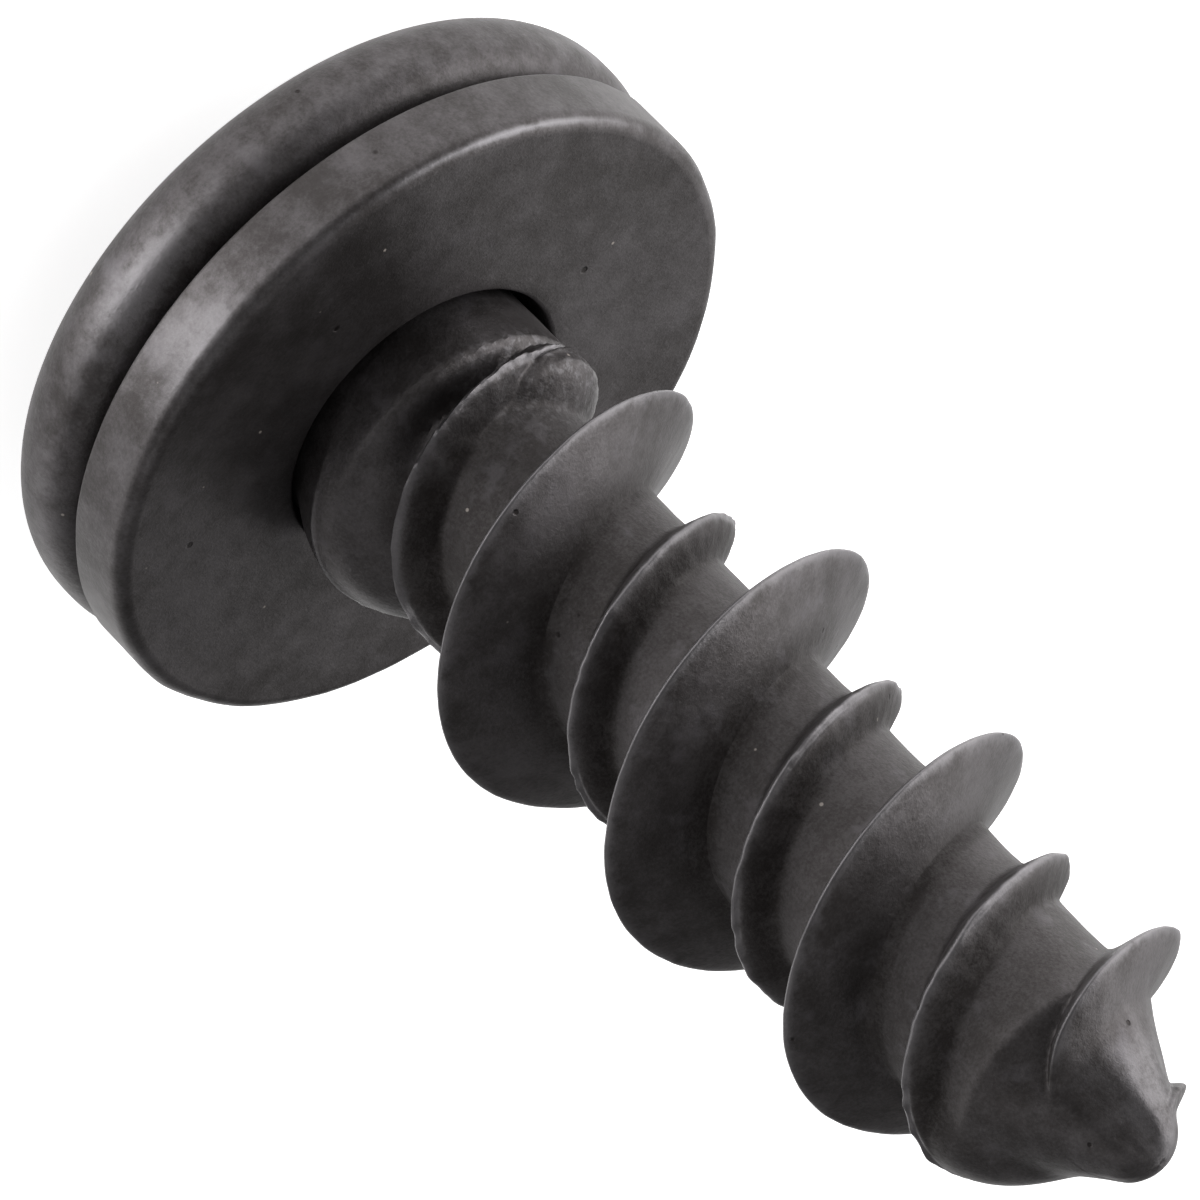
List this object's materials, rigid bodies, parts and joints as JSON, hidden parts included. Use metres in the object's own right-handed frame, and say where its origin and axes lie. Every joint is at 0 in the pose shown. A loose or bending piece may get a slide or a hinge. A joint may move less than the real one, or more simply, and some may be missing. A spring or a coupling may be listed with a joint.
{
  "type": "high-low thread screw with captive washer",
  "caption": "Pan-head screw with a coarse double-start high-low thread, a blunt gimlet point and a loose flat washer held captive under the head.",
  "frame": {"origin": "on the screw's axis, in the plane of the washer's bearing face", "axes": "+Z along the screw from the head to the point; the screw stands on its head"},
  "size_m": [0.008, 0.008, 0.0153],
  "materials": {
    "screw_black_oxide": "black oxide, dull satin, paler on worn thread crests",
    "washer_black_oxide": "black oxide, dull satin, paler on the rim"
  },
  "bodies": {
    "screw": {"threaded_screw": "screw_black_oxide"},
    "washer": {"captive_washer": "washer_black_oxide"}
  },
  "joints": [
    {"name": "washer_spin", "type": "hinge", "parent": "screw", "child": "washer", "pos_m": [0, 0, -0.00041], "axis": [0, 0, 1], "continuous": true}
  ]
}
